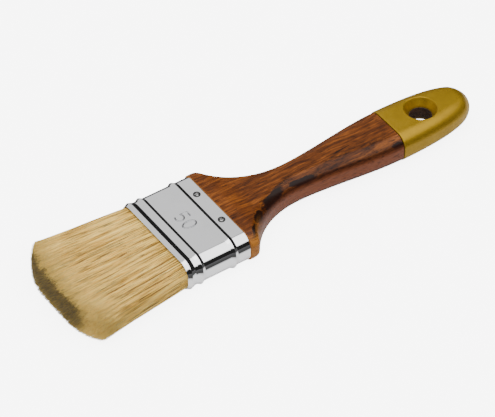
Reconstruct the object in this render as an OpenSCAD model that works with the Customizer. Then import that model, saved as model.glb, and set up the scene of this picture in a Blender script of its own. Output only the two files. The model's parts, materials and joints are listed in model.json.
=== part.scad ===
// Flat decorator's paint brush, lying on its face.
// X runs along the brush, bristle tips at -X and hanging end at +X. Y is the width, Z is up.
// Lengths below are measured from the ferrule's mouth, where the bristles come out.
// The finished parts are moved so that the origin is under the middle of the brush.

/* [Bristles] */
// Length of bristle outside the ferrule
bristle_length = 53; // [48:0.5:58]
// Width of the bundle where it leaves the ferrule
bristle_root_width = 50; // [49:0.1:50.2]
// Width of the fanned bundle near its tips
bristle_fan_width = 60; // [54:0.5:62]
// Thickness of the bundle
bristle_thickness = 13.6; // [12.6:0.1:13.8]
// How much each half of the bundle swells outside the ferrule
bristle_swell = 1; // [0:0.1:1.2]
// Width of the rounded corners at the trimmed end
trim_corner = 22; // [12:0.5:24]
// Length of the rounded corners at the trimmed end
trim_length = 12; // [8:0.5:14]
// Radius of the worn edge around the trimmed ends
trim_edge = 3.4; // [2:0.1:5]
// Where the bundle bends, as a share of its free length
flex_share = 0.15; // [0.12:0.01:0.3]
// Gap between the fixed and the bending bristles
flex_gap = 0.6; // [0.5:0.05:0.9]

/* [Ferrule] */
// Outside width of the ferrule
ferrule_width = 51; // [50.8:0.1:52]
// Outside thickness of the ferrule
ferrule_thickness = 15; // [14.8:0.1:15.6]
// Length of the ferrule
ferrule_length = 32.5; // [31.5:0.5:36]
// Outside radius of its long edges
ferrule_corner = 6.1; // [5.5:0.1:6.5]
// Thickness of the sheet metal
sheet = 0.4; // [0.3:0.05:0.5]
// Height of a pressed bead above the sheet
bead_height = 0.8; // [0.5:0.1:1]
// Width of a pressed bead
bead_width = 3.2; // [2.6:0.1:3.6]
// Middle of the bead at the mouth
bead_mouth = 1.9; // [1.8:0.1:3]
// Middle of the second bead
bead_second = 7.4; // [7:0.1:10]
// Middle of the bead at the handle
bead_handle = 24.3; // [23.5:0.1:26]

/* [Nails] */
// Diameter of a nail head
nail_head = 3.4; // [2.6:0.1:4]
// Diameter of a nail shank
nail_shank = 1.4; // [1:0.1:1.8]
// Length of a nail under its head
nail_length = 6; // [4:0.1:6.4]
// Distance of the nails from the mouth
nail_place = 29; // [28.8:0.1:29.6]
// Distance between the two nails of a face
nail_spacing = 19; // [14:0.5:30]
// Sideways shift of both nails on each face
nail_shift = 1.2; // [0:0.1:2]

/* [Setting] */
// Depth of the bristles inside the ferrule
root_depth = 13; // [11:0.5:14]
// Depth of the resin's back face inside the ferrule
resin_depth = 19.8; // [18:0.1:20]
// Width of a spacer plug
plug_width = 18; // [12:0.5:20]
// Thickness of a spacer plug
plug_thickness = 3.2; // [2:0.1:5]
// Distance between the middles of the two plugs
plug_spacing = 23; // [22:0.5:25]

/* [Handle] */
// Distance from the ferrule's end to the end of the wood
handle_length = 134.6; // [128:0.2:140]
// Width of the wood at the ferrule
shoulder_width = 52; // [51.6:0.1:53]
// Width of the neck at its thinnest
neck_width = 17; // [16:0.5:20]
// Width of the grip at its widest
grip_width = 26; // [24:0.5:30]
// Thickness of the handle
handle_thickness = 15; // [14.4:0.1:16]
// How much the wood stands proud of the ferrule on each face
shoulder_rise = 0.4; // [0.2:0.1:0.7]
// Diameter of the hanging hole
hole_diameter = 10.2; // [8:0.2:11]
// Diameter of the flared mouth on the upper face
hole_mouth = 15; // [13:0.2:16]
// Diameter of the flared mouth on the under face
hole_mouth_under = 17.6; // [13:0.2:18]
// Straight length in the middle of the hole
hole_straight = 6.2; // [5:0.2:8]
// Distance of the hole's middle from the end of the wood
hole_from_end = 25; // [21:0.2:27]

/* [Dipped end] */
// Length of the lacquered end
dip_length = 43.2; // [36:0.2:48]
// Thickness of the lacquer
dip_coat_thickness = 0.2; // [0.15:0.05:0.3]

/* [Hidden] */
$fn = 96;

gap = 0.1;                                    // clearance between pieces that are set in each other
corner_steps = 7;                             // facets around a lofted corner
inside_width = ferrule_width - 2 * sheet;
inside_thickness = ferrule_thickness - 2 * sheet;
inside_corner = ferrule_corner - sheet;
bead_radius = (bead_width * bead_width / 4 + bead_height * bead_height) / (2 * bead_height);
bead_sink = bead_radius - bead_height;        // depth of the bead's centre under the sheet
beads = [bead_mouth, bead_second, bead_handle];
flex_x = -flex_share * bristle_length;        // the axis that the bundle bends about
knuckle = bristle_thickness / 2;              // round end of the fixed bristles
tongue_x = resin_depth + gap;
shoulder_x = ferrule_length + gap;
end_x = ferrule_length + handle_length;
dip_x = end_x - dip_length;
hole_x = end_x - hole_from_end;
plug_start = 1.5;
plug_end = resin_depth - 0.8;
half_shoulder = shoulder_width / 2;
half_neck = neck_width / 2;
half_grip = grip_width / 2;
tip_taper = 1.25;                             // loss of half thickness from the grip to the end
edge_y = 6.4;                                 // rounding of the handle's long edges, sideways
edge_z = 5.6;                                 // and through the thickness
middle_x = (end_x + dip_coat_thickness - bristle_length) / 2;
rest_z = ferrule_thickness / 2 + bead_height;

// Moves a part from the ferrule's mouth to the brush's own origin
module placed() {
    translate([-middle_x, 0, rest_z]) children();
}

// Point of a cubic curve
function cubic(p, t) =
    pow(1 - t, 3) * p[0] + 3 * pow(1 - t, 2) * t * p[1] + 3 * (1 - t) * t * t * p[2] + pow(t, 3) * p[3];

// Points of a cubic curve, without its first point
function cubic_run(p, steps) = [for (i = [1:steps]) cubic(p, i / steps)];

function smooth(t) = let (c = min(1, max(0, t))) c * c * (3 - 2 * c);

// Loss of height at a distance d inside a rounded edge of half-axes a and h
function edge_drop(d, a, h) = d >= a ? 0 : h * (1 - sqrt(1 - pow((a - max(0, d)) / a, 2)));

// Closed ring of a rounded rectangle across the X axis
function ring(x, half_w, half_t, ry, rz) = [
    for (q = [0:3], i = [0:corner_steps])
        let (
            a = 90 * (q + i / corner_steps),
            side = (q == 0 || q == 3) ? 1 : -1,
            up = q < 2 ? 1 : -1
        )
        [x, side * (half_w - ry) + ry * cos(a), up * (half_t - rz) + rz * sin(a)]
];

// Closed skin through rings of equal length
module loft(rings) {
    n = len(rings[0]);
    last = (len(rings) - 1) * n;
    skin = [
        for (k = [0:len(rings) - 2], i = [0:n - 1])
            let (j = (i + 1) % n)
            each [
                [k * n + i, (k + 1) * n + i, (k + 1) * n + j],
                [k * n + i, (k + 1) * n + j, k * n + j]
            ]
    ];
    near_cap = [[for (i = [0:n - 1]) i]];
    far_cap = [[for (i = [n - 1:-1:0]) last + i]];
    polyhedron([for (r = rings) each r], concat(near_cap, skin, far_cap));
}

// Flat rounded rectangle with true arcs
module rounded(w, t, r) {
    square([w - 2 * r, t], center = true);
    square([w, t - 2 * r], center = true);
    for (y = [-1, 1], z = [-1, 1])
        translate([y * (w / 2 - r), z * (t / 2 - r)]) circle(r);
}

// Rounded bar along X
module bar(x0, x1, w, t, r) {
    translate([x0, 0, 0]) rotate([90, 0, 90]) linear_extrude(x1 - x0) rounded(w, t, r);
}

// Round rod that follows the ferrule's outline under its surface
module hoop(x, radius) {
    corner_y = ferrule_width / 2 - ferrule_corner;
    corner_z = ferrule_thickness / 2 - ferrule_corner;
    sink_y = ferrule_width / 2 - bead_sink;
    sink_z = ferrule_thickness / 2 - bead_sink;
    for (s = [-1, 1]) {
        translate([x, 0, s * sink_z]) rotate([90, 0, 0]) cylinder(h = 2 * corner_y, r = radius, center = true);
        translate([x, s * sink_y, 0]) cylinder(h = 2 * corner_z, r = radius, center = true);
    }
    for (turn = [0:3]) {
        y = (turn == 0 || turn == 3) ? corner_y : -corner_y;
        z = turn < 2 ? corner_z : -corner_z;
        translate([x, y, z]) rotate([90, 0, 90]) rotate([0, 0, 90 * turn])
            rotate_extrude(angle = 90) translate([ferrule_corner - bead_sink, 0]) circle(radius);
    }
}

// Half width of the bundle at x, from the mouth to the start of the trimmed corners
function fan_half(x) =
    let (s = min(1, -x / (bristle_length * 0.75)))
    bristle_root_width / 2 + (bristle_fan_width - bristle_root_width) / 2 * pow(s, 1.15);

// Half width at x with the trimmed corners
function tuft_half(x) = fan_half(x) - edge_drop(x + bristle_length, trim_length, trim_corner);

// Half thickness of the bundle at x, swelling past the bend and rounded at the trimmed end
function tuft_thick(x) =
    bristle_thickness / 2
    + bristle_swell * smooth((flex_x - x) / 18)
    - edge_drop(x + bristle_length, trim_edge, trim_edge);

module bristle_tuft() {
    trim_x = trim_length - bristle_length;
    xs = concat(
        [for (i = [0:10]) trim_x - trim_length * cos(90 * i / 10)],
        [for (i = [1:8]) trim_x + (flex_x - trim_x) * i / 8]
    );
    color("burlywood") placed() difference() {
        loft([
            for (x = xs)
                let (
                    half_t = tuft_thick(x),
                    r = min(inside_corner - gap, half_t * 0.95)
                )
                ring(x, tuft_half(x), half_t, r, r)
        ]);
        translate([flex_x, 0, 0]) rotate([90, 0, 0])
            cylinder(h = bristle_fan_width + 10, r = knuckle + flex_gap, center = true);
    }
}

// A strip between the two banks of bristles, with room around it when it is a cutter
module plug(side, room) {
    translate([(plug_start + plug_end) / 2, side * plug_spacing / 2, 0])
        cube([plug_end - plug_start + 2 * room, plug_width + 2 * room, plug_thickness + 2 * room], center = true);
}

module bristle_root() {
    color("tan") placed() difference() {
        union() {
            bar(flex_x, root_depth, bristle_root_width, bristle_thickness, inside_corner - gap);
            intersection() {
                bar(flex_x - knuckle, flex_x + 1, bristle_root_width, bristle_thickness, inside_corner - gap);
                translate([flex_x, 0, 0]) rotate([90, 0, 0])
                    cylinder(h = bristle_root_width, r = knuckle, center = true);
            }
        }
        for (side = [-1, 1])
            plug(side, gap);
    }
}

module spacer_plug_left() {
    color("peru") placed() plug(-1, 0);
}

module spacer_plug_right() {
    color("peru") placed() plug(1, 0);
}

module resin_setting() {
    color("goldenrod") placed() difference() {
        bar(root_depth + gap, resin_depth, inside_width - 2 * gap, inside_thickness - 2 * gap, inside_corner - gap);
        for (side = [-1, 1])
            plug(side, gap);
    }
}

// Places its children at a nail, with Z out of the ferrule's face
module at_nail(side, face) {
    translate([nail_place, side * nail_spacing / 2 + nail_shift, face * ferrule_thickness / 2])
        rotate([face > 0 ? 0 : 180, 0, 0]) children();
}

// Round cutters for the shanks of all the nails
module nail_holes(room) {
    for (side = [-1, 1], face = [-1, 1])
        at_nail(side, face)
            translate([0, 0, -nail_length - 0.5]) cylinder(h = nail_length + 2, r = nail_shank / 2 + room);
}

module ferrule() {
    color("gainsboro") placed() difference() {
        union() {
            bar(0, ferrule_length, ferrule_width, ferrule_thickness, ferrule_corner);
            for (x = beads)
                hoop(x, bead_radius);
        }
        bar(-1, ferrule_length + 1, inside_width, inside_thickness, inside_corner);
        for (x = beads)
            hoop(x, bead_radius - sheet);
        nail_holes(0.05);
    }
}

// Flat-topped nail with a chamfered head and a pointed shank
module nail(side, face) {
    head_t = 0.45;
    bevel = 0.25;
    lift = 0.02;
    color("silver") placed() at_nail(side, face) translate([0, 0, lift]) rotate_extrude() polygon([
        [0, -nail_length], [nail_shank / 2, -nail_length + nail_shank], [nail_shank / 2, 0],
        [nail_head / 2, 0], [nail_head / 2, head_t - bevel], [nail_head / 2 - bevel, head_t], [0, head_t]
    ]);
}

module nail_top_left() {
    nail(-1, 1);
}

module nail_top_right() {
    nail(1, 1);
}

module nail_under_left() {
    nail(-1, -1);
}

module nail_under_right() {
    nail(1, -1);
}

// Plan outline of the wood as points of x and half width
function handle_outline() =
    let (
        s = shoulder_x,
        foot = [s + 5.4, half_shoulder - 1.5],
        neck = [s + 38.4, half_neck],
        grip = [s + 90.9, half_grip]
    )
    concat(
        [[s, half_shoulder - 0.3], [s + 0.3, half_shoulder], [s + 2.4, half_shoulder]],
        cubic_run([[s + 2.4, half_shoulder], [s + 4, half_shoulder], [s + 4.6, half_shoulder - 0.5], foot], 4),
        cubic_run([foot, [s + 9.9, half_shoulder - 8], [s + 19.9, half_neck], neck], 16),
        cubic_run([neck, [s + 54.4, half_neck], [s + 74.4, half_grip], grip], 10),
        cubic_run([grip, [end_x - 13, half_grip], [end_x, half_grip * 0.8], [end_x, 1.2]], 16)
    );

// Half thickness of the wood at x
function handle_half(x) =
    handle_thickness / 2
    + shoulder_rise * (1 - smooth((x - shoulder_x - 3) / 12))
    - tip_taper * pow(max(0, (x - dip_x) / dip_length), 2)
    - edge_drop(end_x - x, edge_y, edge_z);

// The turned wood, or its lacquered skin when it is grown outwards
module handle_body(grow, outline) {
    loft([
        for (p = outline)
            let (
                half_w = p[1] + grow,
                half_t = handle_half(p[0]) + grow,
                stretch = p[0] >= end_x - 0.001 ? grow : 0
            )
            ring(p[0] + stretch, half_w, half_t, min(edge_y, half_w * 0.96), min(edge_z + 0.3, half_t * 0.94))
    ]);
}

// The hanging hole with a flared mouth on each face
module hanging_hole(room, radius) {
    run = handle_thickness / 2 + 2 - hole_straight / 2;
    translate([hole_x, 0, 0]) {
        cylinder(h = handle_thickness + 4, r = radius, center = true);
        for (face = [0, 180]) {
            mouth = face == 0 ? hole_mouth : hole_mouth_under;
            slope = (mouth / 2 - hole_diameter / 2) / (handle_thickness / 2 - hole_straight / 2);
            rotate([face, 0, 0]) translate([0, 0, hole_straight / 2])
                cylinder(h = run, r1 = radius + room, r2 = radius + room + slope * run);
        }
    }
}

module wood() {
    difference() {
        union() {
            handle_body(0, handle_outline());
            bar(tongue_x, shoulder_x + 2, inside_width - 2 * gap, inside_thickness - 2 * gap, inside_corner - gap);
        }
        hanging_hole(dip_coat_thickness, hole_diameter / 2);
        nail_holes(0.05);
    }
}

module handle() {
    color("saddlebrown") placed() wood();
}

module dipped_end() {
    color("gold") placed() difference() {
        intersection() {
            handle_body(dip_coat_thickness, handle_outline());
            translate([dip_x, -grip_width, -handle_thickness])
                cube([dip_length + 2, 2 * grip_width, 2 * handle_thickness]);
        }
        hanging_hole(0, hole_diameter / 2);
        wood();
    }
}

bristle_tuft();
bristle_root();
spacer_plug_left();
spacer_plug_right();
resin_setting();
ferrule();
nail_top_left();
nail_top_right();
nail_under_left();
nail_under_right();
handle();
dipped_end();
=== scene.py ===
import json
import math
import random

import bmesh
import bpy
from mathutils import Euler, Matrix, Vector


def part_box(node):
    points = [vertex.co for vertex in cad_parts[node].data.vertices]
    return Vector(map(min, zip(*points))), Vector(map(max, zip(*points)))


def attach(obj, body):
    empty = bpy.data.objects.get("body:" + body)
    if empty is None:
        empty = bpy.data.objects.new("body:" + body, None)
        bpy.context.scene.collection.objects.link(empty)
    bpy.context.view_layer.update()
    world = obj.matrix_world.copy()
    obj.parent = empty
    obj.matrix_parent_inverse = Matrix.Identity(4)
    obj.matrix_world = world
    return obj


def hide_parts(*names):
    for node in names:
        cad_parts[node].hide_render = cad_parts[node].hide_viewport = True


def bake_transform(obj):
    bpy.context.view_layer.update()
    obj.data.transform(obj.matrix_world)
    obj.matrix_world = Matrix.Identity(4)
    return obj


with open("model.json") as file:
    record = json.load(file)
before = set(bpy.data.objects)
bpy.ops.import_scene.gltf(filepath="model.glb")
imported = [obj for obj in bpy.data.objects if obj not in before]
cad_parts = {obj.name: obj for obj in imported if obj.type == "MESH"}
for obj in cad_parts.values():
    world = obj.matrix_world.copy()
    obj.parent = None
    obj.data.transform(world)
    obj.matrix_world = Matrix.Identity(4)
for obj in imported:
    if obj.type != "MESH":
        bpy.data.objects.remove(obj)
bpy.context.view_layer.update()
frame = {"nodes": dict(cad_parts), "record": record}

# Flat paint brush: bristles at -X, ferrule, wooden handle and lacquered end at +X.
# Sizes below are in millimetres and are turned to metres where they are used.
mm = 0.001
scene = bpy.context.scene

ferruleLow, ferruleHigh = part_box("ferrule")
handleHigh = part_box("handle")[1]
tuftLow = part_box("bristle_tuft")[0]
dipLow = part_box("dipped_end")[0]
mouthX = ferruleLow.x
midZ = (ferruleLow.z + ferruleHigh.z) / 2
holeMount = next(m for m in frame["record"]["mounts"] if m["name"] == "hanging_hole")


# ---- camera

cameraSettings = {
    "azimuth": -34.74,
    "elevation": 43.96,
    "distance": 1464 * mm,
    "lookAt": (-17.86 * mm, -13.01 * mm, 20.42 * mm),
    "lens": 248.1,
}


def buildCamera(s):
    azimuth, elevation = math.radians(s["azimuth"]), math.radians(s["elevation"])
    back = Vector((
        math.sin(azimuth) * math.cos(elevation),
        -math.cos(azimuth) * math.cos(elevation),
        math.sin(elevation),
    ))
    data = bpy.data.cameras.new("studioCamera")
    data.lens = s["lens"]
    data.clip_start, data.clip_end = 0.05, 20
    camera = bpy.data.objects.new("studioCamera", data)
    scene.collection.objects.link(camera)
    camera.location = Vector(s["lookAt"]) + back * s["distance"]
    camera.rotation_mode = "QUATERNION"
    camera.rotation_quaternion = (-back).to_track_quat("-Z", "Y")
    scene.camera = camera


buildCamera(cameraSettings)


# ---- small helpers for node trees

def feed(tree, node, inputs):
    # a socket is linked to the input, anything else becomes its value
    for key, value in inputs.items():
        if isinstance(value, bpy.types.NodeSocket):
            tree.links.new(value, node.inputs[key])
        else:
            node.inputs[key].default_value = value


def addNode(tree, kind, inputs=None, **settings):
    node = tree.nodes.new(kind)
    for key, value in settings.items():
        setattr(node, key, value)
    feed(tree, node, inputs or {})
    return node


def maths(tree, operation, first, second=0.0, clamp=False):
    node = addNode(tree, "ShaderNodeMath", {0: first, 1: second}, operation=operation, use_clamp=clamp)
    return node.outputs[0]


def plus(tree, first, second):
    return maths(tree, "ADD", first, second)


def minus(tree, first, second, clamp=False):
    return maths(tree, "SUBTRACT", first, second, clamp)


def times(tree, first, second):
    return maths(tree, "MULTIPLY", first, second)


def vectorMaths(tree, operation, first, second=(0, 0, 0)):
    return addNode(tree, "ShaderNodeVectorMath", {0: first, 1: second}, operation=operation).outputs[0]


def between(tree, value, low, high):
    inputs = {"Value": value, "From Min": low, "From Max": high}
    return addNode(tree, "ShaderNodeMapRange", inputs).outputs[0]


def part(tree, vector, index):
    return addNode(tree, "ShaderNodeSeparateXYZ", {0: vector}).outputs[index]


def combined(tree, x=0.0, y=0.0, z=0.0):
    return addNode(tree, "ShaderNodeCombineXYZ", {0: x, 1: y, 2: z}).outputs[0]


def scaled(tree, vector, factor):
    return addNode(tree, "ShaderNodeVectorMath", {0: vector, "Scale": factor}, operation="SCALE").outputs[0]


def ramp(tree, factor, stops):
    # stops are (place, colour); a grey is given as one number
    node = addNode(tree, "ShaderNodeValToRGB", {0: factor})
    while len(node.color_ramp.elements) < len(stops):
        node.color_ramp.elements.new(0.5)
    for element, (place, colour) in zip(node.color_ramp.elements, stops):
        rgb = colour if isinstance(colour, tuple) else (colour,) * 3
        element.position = place
        element.color = (*rgb, 1)
    return node.outputs[0]


def mixColour(tree, factor, first, second, blend="MIX"):
    first, second = ((*c, 1) if isinstance(c, tuple) else c for c in (first, second))
    inputs = {0: factor, 6: first, 7: second}
    return addNode(tree, "ShaderNodeMix", inputs, data_type="RGBA", blend_type=blend).outputs[2]


def noise(tree, vector, scale, detail=3.0, roughness=0.5, distortion=0.0):
    return addNode(tree, "ShaderNodeTexNoise", {
        "Vector": vector, "Scale": scale, "Detail": detail, "Roughness": roughness, "Distortion": distortion,
    }).outputs["Fac"]


def mapped(tree, vector, scale, turn=0.0):
    return addNode(tree, "ShaderNodeMapping", {
        "Vector": vector, "Rotation": (0, 0, math.radians(turn)), "Scale": scale,
    }).outputs[0]


def groupTree(name, treeKind, inputs, outputs):
    # inputs are (name, kind of socket, default); outputs are (name, kind of socket)
    tree = bpy.data.node_groups.new(name, treeKind)
    for label, kind, default in inputs:
        socket = tree.interface.new_socket(name=label, in_out="INPUT", socket_type="NodeSocket" + kind)
        if default is not None:
            socket.default_value = default
    for label, kind in outputs:
        tree.interface.new_socket(name=label, in_out="OUTPUT", socket_type="NodeSocket" + kind)
    start = tree.nodes.new("NodeGroupInput")
    end = tree.nodes.new("NodeGroupOutput")
    return tree, start.outputs, end.inputs


def placeGroup(tree, group, inputs):
    node = tree.nodes.new("ShaderNodeGroup")
    node.node_tree = group
    feed(tree, node, inputs)
    return node.outputs


def paint(tree, geometry, material, **choice):
    inputs = {"Geometry": geometry, "Material": material, **choice}
    return addNode(tree, "GeometryNodeSetMaterial", inputs).outputs[0]


def smoothed(tree, geometry):
    return addNode(tree, "GeometryNodeSetShadeSmooth", {"Geometry": geometry}).outputs[0]


def realized(tree, geometry):
    return addNode(tree, "GeometryNodeRealizeInstances", {"Geometry": geometry}).outputs[0]


def namedAttribute(tree, name, kind):
    return addNode(tree, "GeometryNodeInputNamedAttribute", {"Name": name}, data_type=kind).outputs[0]


def newMaterial(name, **surface):
    material = bpy.data.materials.new(name)
    material.use_nodes = True
    tree = material.node_tree
    shader = tree.nodes["Principled BSDF"]
    for key, value in surface.items():
        shader.inputs[key].default_value = value
    coords = addNode(tree, "ShaderNodeTexCoord").outputs["Object"]
    return material, tree, shader, coords


def drive(tree, shader, **sources):
    # links a value to each named input; an underscore stands for a space
    for key, source in sources.items():
        tree.links.new(source, shader.inputs[key.replace("_", " ")])


def bumpTo(tree, shader, height, strength, distance):
    bump = addNode(tree, "ShaderNodeBump", {"Strength": strength, "Distance": distance, "Height": height})
    drive(tree, shader, Normal=bump.outputs[0])


# ---- small helpers for meshes

def newObject(name, mesh, material=None):
    obj = bpy.data.objects.new(name, mesh)
    scene.collection.objects.link(obj)
    if material is not None:
        mesh.materials.append(material)
    return obj


def meshFrom(name, points, faces):
    mesh = bpy.data.meshes.new(name)
    mesh.from_pydata(points, [], faces)
    mesh.update()
    return mesh


def smoothShade(mesh, angle=35):
    mesh.shade_smooth()
    mesh.set_sharp_from_angle(angle=math.radians(angle))


def loftFaces(ringCount, ringSize):
    faces = []
    for k in range(ringCount - 1):
        for i in range(ringSize):
            j = (i + 1) % ringSize
            faces.append((k * ringSize + i, k * ringSize + j, (k + 1) * ringSize + j, (k + 1) * ringSize + i))
    faces.append(tuple(reversed(range(ringSize))))
    faces.append(tuple(range((ringCount - 1) * ringSize, ringCount * ringSize)))
    return faces


def loftMesh(name, rings):
    return meshFrom(name, [p for ring in rings for p in ring], loftFaces(len(rings), len(rings[0])))


def roundedRing(x, halfWidth, halfThickness, edgeY, edgeZ, steps):
    # counter-clockwise seen from +X, with elliptical corners
    ring = []
    for quarter in range(4):
        side = 1 if quarter in (0, 3) else -1
        up = 1 if quarter < 2 else -1
        for i in range(steps + 1):
            a = math.radians(90) * (quarter + i / steps)
            y = side * (halfWidth - edgeY) + edgeY * math.cos(a)
            z = up * (halfThickness - edgeZ) + edgeZ * math.sin(a)
            ring.append((mouthX + x * mm, y * mm, midZ + z * mm))
    return ring


def latheMesh(name, profile, sides):
    # profile is (radius, height) from the bottom of the axis to its top
    turns = [2 * math.pi * i / sides for i in range(sides)]
    return loftMesh(name, [[(r * math.cos(a), r * math.sin(a), h) for a in turns] for r, h in profile])


def setInputs(modifier, tree, values):
    for item in tree.interface.items_tree:
        if item.item_type == "SOCKET" and item.in_out == "INPUT" and item.name in values:
            modifier[item.identifier] = values[item.name]


def bakeNodes(name, base, tree, values):
    # runs a node tree on a base mesh and keeps the result as a plain mesh
    obj = newObject(name, base)
    modifier = obj.modifiers.new("build", "NODES")
    modifier.node_group = tree
    setInputs(modifier, tree, values)
    graph = bpy.context.evaluated_depsgraph_get()
    result = bpy.data.meshes.new_from_object(
        obj.evaluated_get(graph), preserve_all_data_layers=True, depsgraph=graph)
    obj.modifiers.clear()
    obj.data = result
    result.name = name
    return obj


def finishPiece(obj, body, slotName, *nodes):
    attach(obj, body)
    if nodes:
        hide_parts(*nodes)
    print("built", obj.name, len(obj.data.polygons), "faces")


def bezier(p, t):
    a, b, c, d = (1 - t) ** 3, 3 * (1 - t) ** 2 * t, 3 * (1 - t) * t * t, t ** 3
    return tuple(a * p[0][k] + b * p[1][k] + c * p[2][k] + d * p[3][k] for k in range(2))


def bezierRun(p, steps):
    return [bezier(p, i / steps) for i in range(1, steps + 1)]


def edgeDrop(distance, across, height):
    # loss of height at a distance inside a rounded edge
    if distance >= across:
        return 0.0
    return height * (1 - math.sqrt(max(0.0, 1 - ((across - max(0.0, distance)) / across) ** 2)))


def smoothStep(t):
    t = min(1.0, max(0.0, t))
    return t * t * (3 - 2 * t)


# ---- shared shader groups

def buildStreakGroup():
    # long fine streaks along X, from two noises stretched along the grain
    tree, given, out = groupTree(
        "longStreaks", "ShaderNodeTree",
        [("Vector", "Vector", None), ("Along", "Float", 20.0),
         ("Across", "Float", 600.0), ("Wander", "Float", 0.0)],
        [("Streaks", "Float"), ("Fine", "Float")])
    wave = noise(tree, given["Vector"], 35.0, 2.0)
    shift = times(tree, minus(tree, wave, 0.5), given["Wander"])
    x, y, z = (part(tree, given["Vector"], i) for i in range(3))
    broad = combined(
        tree, times(tree, x, given["Along"]), times(tree, plus(tree, y, shift), given["Across"]),
        times(tree, z, given["Across"]))
    tree.links.new(noise(tree, broad, 1.0, 4.0, 0.6), out["Streaks"])
    tree.links.new(noise(tree, scaled(tree, broad, 3.1), 1.0, 3.0, 0.6), out["Fine"])
    return tree


def buildWearGroup():
    # faint handling marks: soft smudges, and fine scratches that run two ways
    tree, given, out = groupTree(
        "handlingMarks", "ShaderNodeTree",
        [("Vector", "Vector", None), ("Amount", "Float", 1.0)],
        [("Smudge", "Float"), ("Scratch", "Float")])
    smudge = ramp(tree, noise(tree, given["Vector"], 90.0, 4.0, 0.6), [(0.42, 0.0), (0.72, 1.0)])
    marks = None
    for turn in (25, -50):
        line = mapped(tree, given["Vector"], (30, 2600, 900), turn)
        mark = ramp(tree, noise(tree, line, 1.0, 1.0), [(0.70, 0.0), (0.76, 1.0)])
        marks = mark if marks is None else maths(tree, "MAXIMUM", marks, mark)
    tree.links.new(times(tree, smudge, given["Amount"]), out["Smudge"])
    tree.links.new(times(tree, marks, given["Amount"]), out["Scratch"])
    return tree


longStreaks = buildStreakGroup()
handlingMarks = buildWearGroup()


# ---- materials

woodLook = {
    "light": (0.25, 0.074, 0.010),
    "mid": (0.118, 0.031, 0.004),
    "dark": (0.038, 0.009, 0.002),
    "figure": (0.006, 0.002, 0.001),
    "ring": (0.38, 0.15, 0.020),
    "varnish": 0.10,
    # patches of the figure: middle from the mouth, half length, half width, turn in degrees
    "knots": [
        ((55.5, -9.0), 9.6, 3.2, 25),
        ((43.5, -15.2), 4.4, 2.1, 38),
        ((38.0, -21.6), 4.2, 2.3, 40),
        ((73.0, -7.0), 9.0, 1.4, -8),
        ((121.0, -12.0), 3.6, 1.5, 0),
        ((97.0, -1.8), 5.0, 0.4, 4),
    ],
    "clouds": [
        ((92.0, -5.0), 16.0, 3.4, 2),
        ((112.0, -6.5), 12.0, 3.2, 5),
        ((66.0, -3.5), 9.0, 2.0, 12),
    ],
    # painted shade for the sides behind the shoulder: near-black at the rounded top edge, lighter and redder
    # lower down
    "sideShadeTop": (0.020, 0.005, 0.003),
    "sideShadeLow": (0.200, 0.060, 0.024),
    # paler colour for the shoulder's steep faces: end grain, and painted light where the lamps reach them
    # poorly
    "shoulder": (0.52, 0.20, 0.035),
    "sideShadeFrom": 36.0,
    "sideShadeFull": 46.0,
}


def nearestPatch(tree, coords, patches, ragged):
    # distance to the nearest patch of the figure, one at its edge, made ragged by a noise
    nearest = None
    for (x, y), halfLength, halfWidth, turn in patches:
        place = addNode(tree, "ShaderNodeMapping", {
            "Vector": coords, "Location": (mouthX + x * mm, y * mm, midZ + 6 * mm),
            "Rotation": (0, 0, math.radians(turn)), "Scale": (halfLength * mm, halfWidth * mm, 8 * mm),
        }, vector_type="TEXTURE").outputs[0]
        length = addNode(tree, "ShaderNodeVectorMath", {0: place}, operation="LENGTH").outputs["Value"]
        nearest = length if nearest is None else maths(tree, "MINIMUM", nearest, length)
    return plus(tree, nearest, times(tree, minus(tree, ragged, 0.5), 1.5))


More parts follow.
